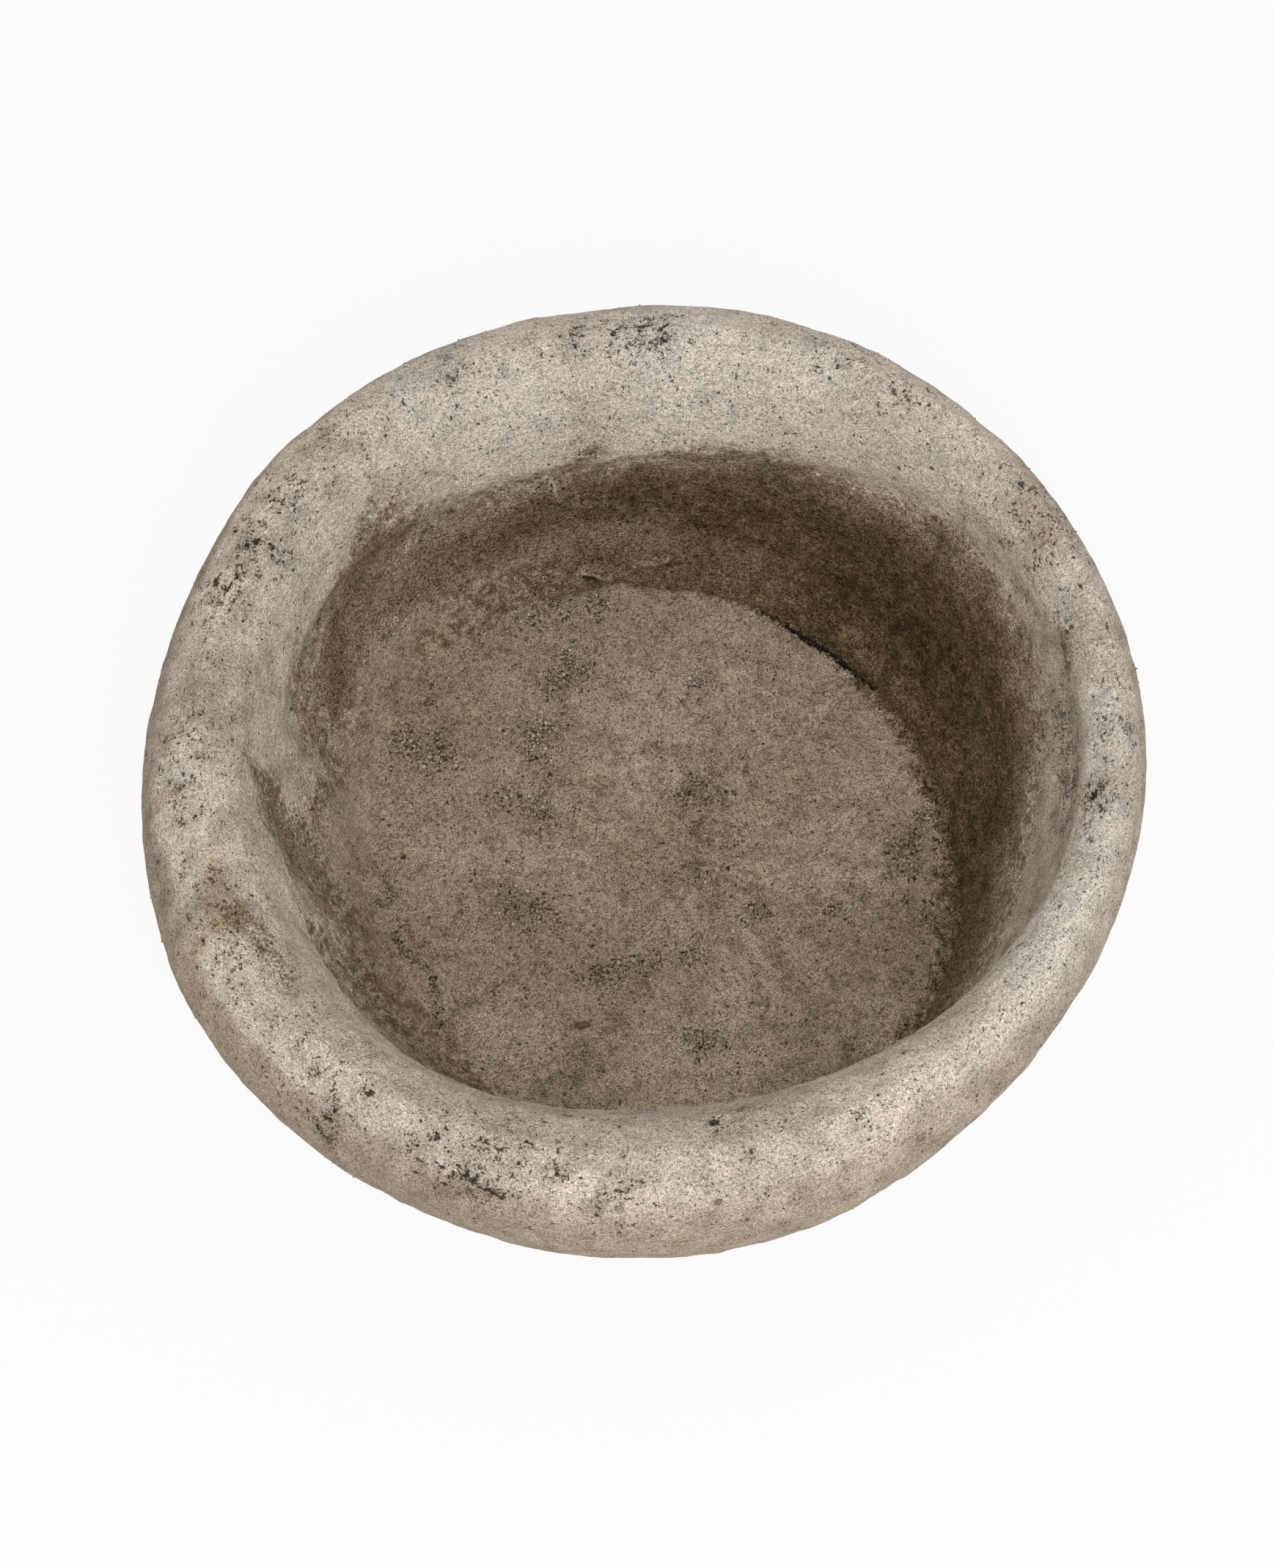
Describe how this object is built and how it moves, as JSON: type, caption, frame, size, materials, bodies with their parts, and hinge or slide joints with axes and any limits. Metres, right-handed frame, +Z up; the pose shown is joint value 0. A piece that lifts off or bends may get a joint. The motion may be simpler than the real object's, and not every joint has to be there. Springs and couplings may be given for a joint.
{
  "type": "stone trough planter",
  "caption": "Low round stone bowl planter with a broad rolled rim, a tapered foot and a trowelled mortar bed in the bottom of its hollow.",
  "frame": {"origin": "centre of the bowl's footprint on the surface that it stands on", "axes": "+Z up, -Y towards the side where the mouth shows most of its far wall, +X to the right of that view"},
  "size_m": [0.5992, 0.6184, 0.235],
  "materials": {
    "weathered_stone": "weathered, pitted and matte, with pale lime on the rim and a dark stain under the lip",
    "trowelled_mortar": "matte, radial trowel strokes, stained"
  },
  "bodies": {
    "root": {"stone_bowl": "weathered_stone", "mortar_bed": "trowelled_mortar"}
  },
  "joints": []
}
